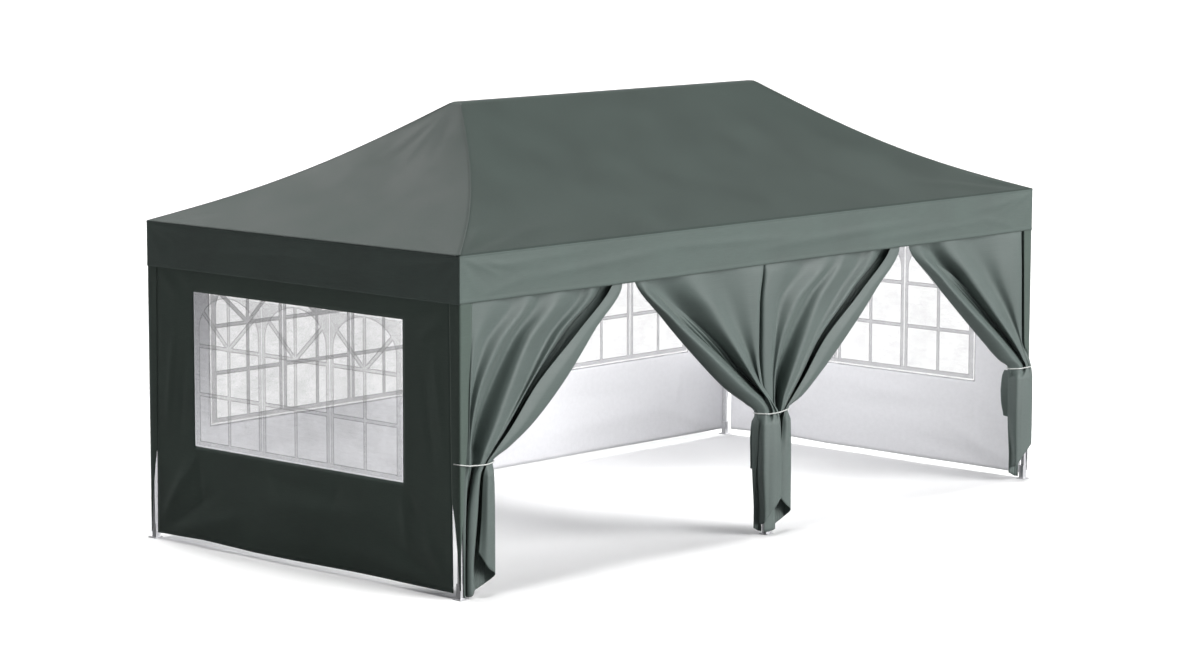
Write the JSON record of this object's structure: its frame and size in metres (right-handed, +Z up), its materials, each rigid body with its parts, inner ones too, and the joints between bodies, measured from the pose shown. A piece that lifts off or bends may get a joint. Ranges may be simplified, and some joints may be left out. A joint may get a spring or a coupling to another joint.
{
  "type": "marquee tent",
  "caption": "Folding-frame marquee tent with a hipped canopy, window walls and door curtains tied back to its legs.",
  "frame": {"origin": "middle of the footprint, on the ground under the legs' feet", "axes": "+X along the 6 m side, -Y the open front with the tied curtains, +Z up"},
  "size_m": [6.022, 3.0711, 2.98],
  "materials": {
    "roof_cloth": "coated polyester, matt",
    "wall_cloth": "coated polyester, matt, pale coating inside",
    "curtain_cloth": "coated polyester, soft sheen",
    "clear_film": "clear flexible film",
    "window_print": "printed bars on the film",
    "tube_metal": "silver powder coat",
    "lower_tube_metal": "silver powder coat",
    "truss_metal": "silver powder coat",
    "pole_metal": "silver powder coat",
    "tie_cord": "woven tie"
  },
  "bodies": {
    "root": {"corner_flap_back_left": "wall_cloth", "corner_flap_back_right": "wall_cloth", "corner_flap_front_left": "wall_cloth", "corner_flap_front_right": "wall_cloth", "curtain_bay_left_inner": "curtain_cloth", "curtain_bay_left_outer": "curtain_cloth", "curtain_bay_right_inner": "curtain_cloth", "curtain_bay_right_outer": "curtain_cloth", "lattice_back_left": "window_print", "lattice_back_right": "window_print", "lattice_left_end": "window_print", "lattice_right_end": "window_print", "leg_inner_back_left": "lower_tube_metal", "leg_inner_back_mid": "lower_tube_metal", "leg_inner_back_right": "lower_tube_metal", "leg_inner_front_left": "lower_tube_metal", "leg_inner_front_mid": "lower_tube_metal", "leg_inner_front_right": "lower_tube_metal", "leg_outer_back_left": "tube_metal", "leg_outer_back_mid": "tube_metal", "leg_outer_back_right": "tube_metal", "leg_outer_front_left": "tube_metal", "leg_outer_front_mid": "tube_metal", "leg_outer_front_right": "tube_metal", "peak_support_left": "pole_metal", "peak_support_right": "pole_metal", "roof_back": "roof_cloth", "roof_front": "roof_cloth", "roof_left": "roof_cloth", "roof_right": "roof_cloth", "tie_left": "tie_cord", "tie_mid": "tie_cord", "tie_right": "tie_cord", "truss_back_left": "truss_metal", "truss_back_right": "truss_metal", "truss_front_left": "truss_metal", "truss_front_right": "truss_metal", "truss_left": "truss_metal", "truss_middle": "truss_metal", "truss_right": "truss_metal", "valance_back": "roof_cloth", "valance_front": "roof_cloth", "valance_left": "roof_cloth", "valance_right": "roof_cloth", "wall_back_left": "wall_cloth", "wall_back_right": "wall_cloth", "wall_left_end": "wall_cloth", "wall_right_end": "wall_cloth", "window_back_left": "clear_film", "window_back_right": "clear_film", "window_left_end": "clear_film", "window_right_end": "clear_film"}
  },
  "joints": []
}
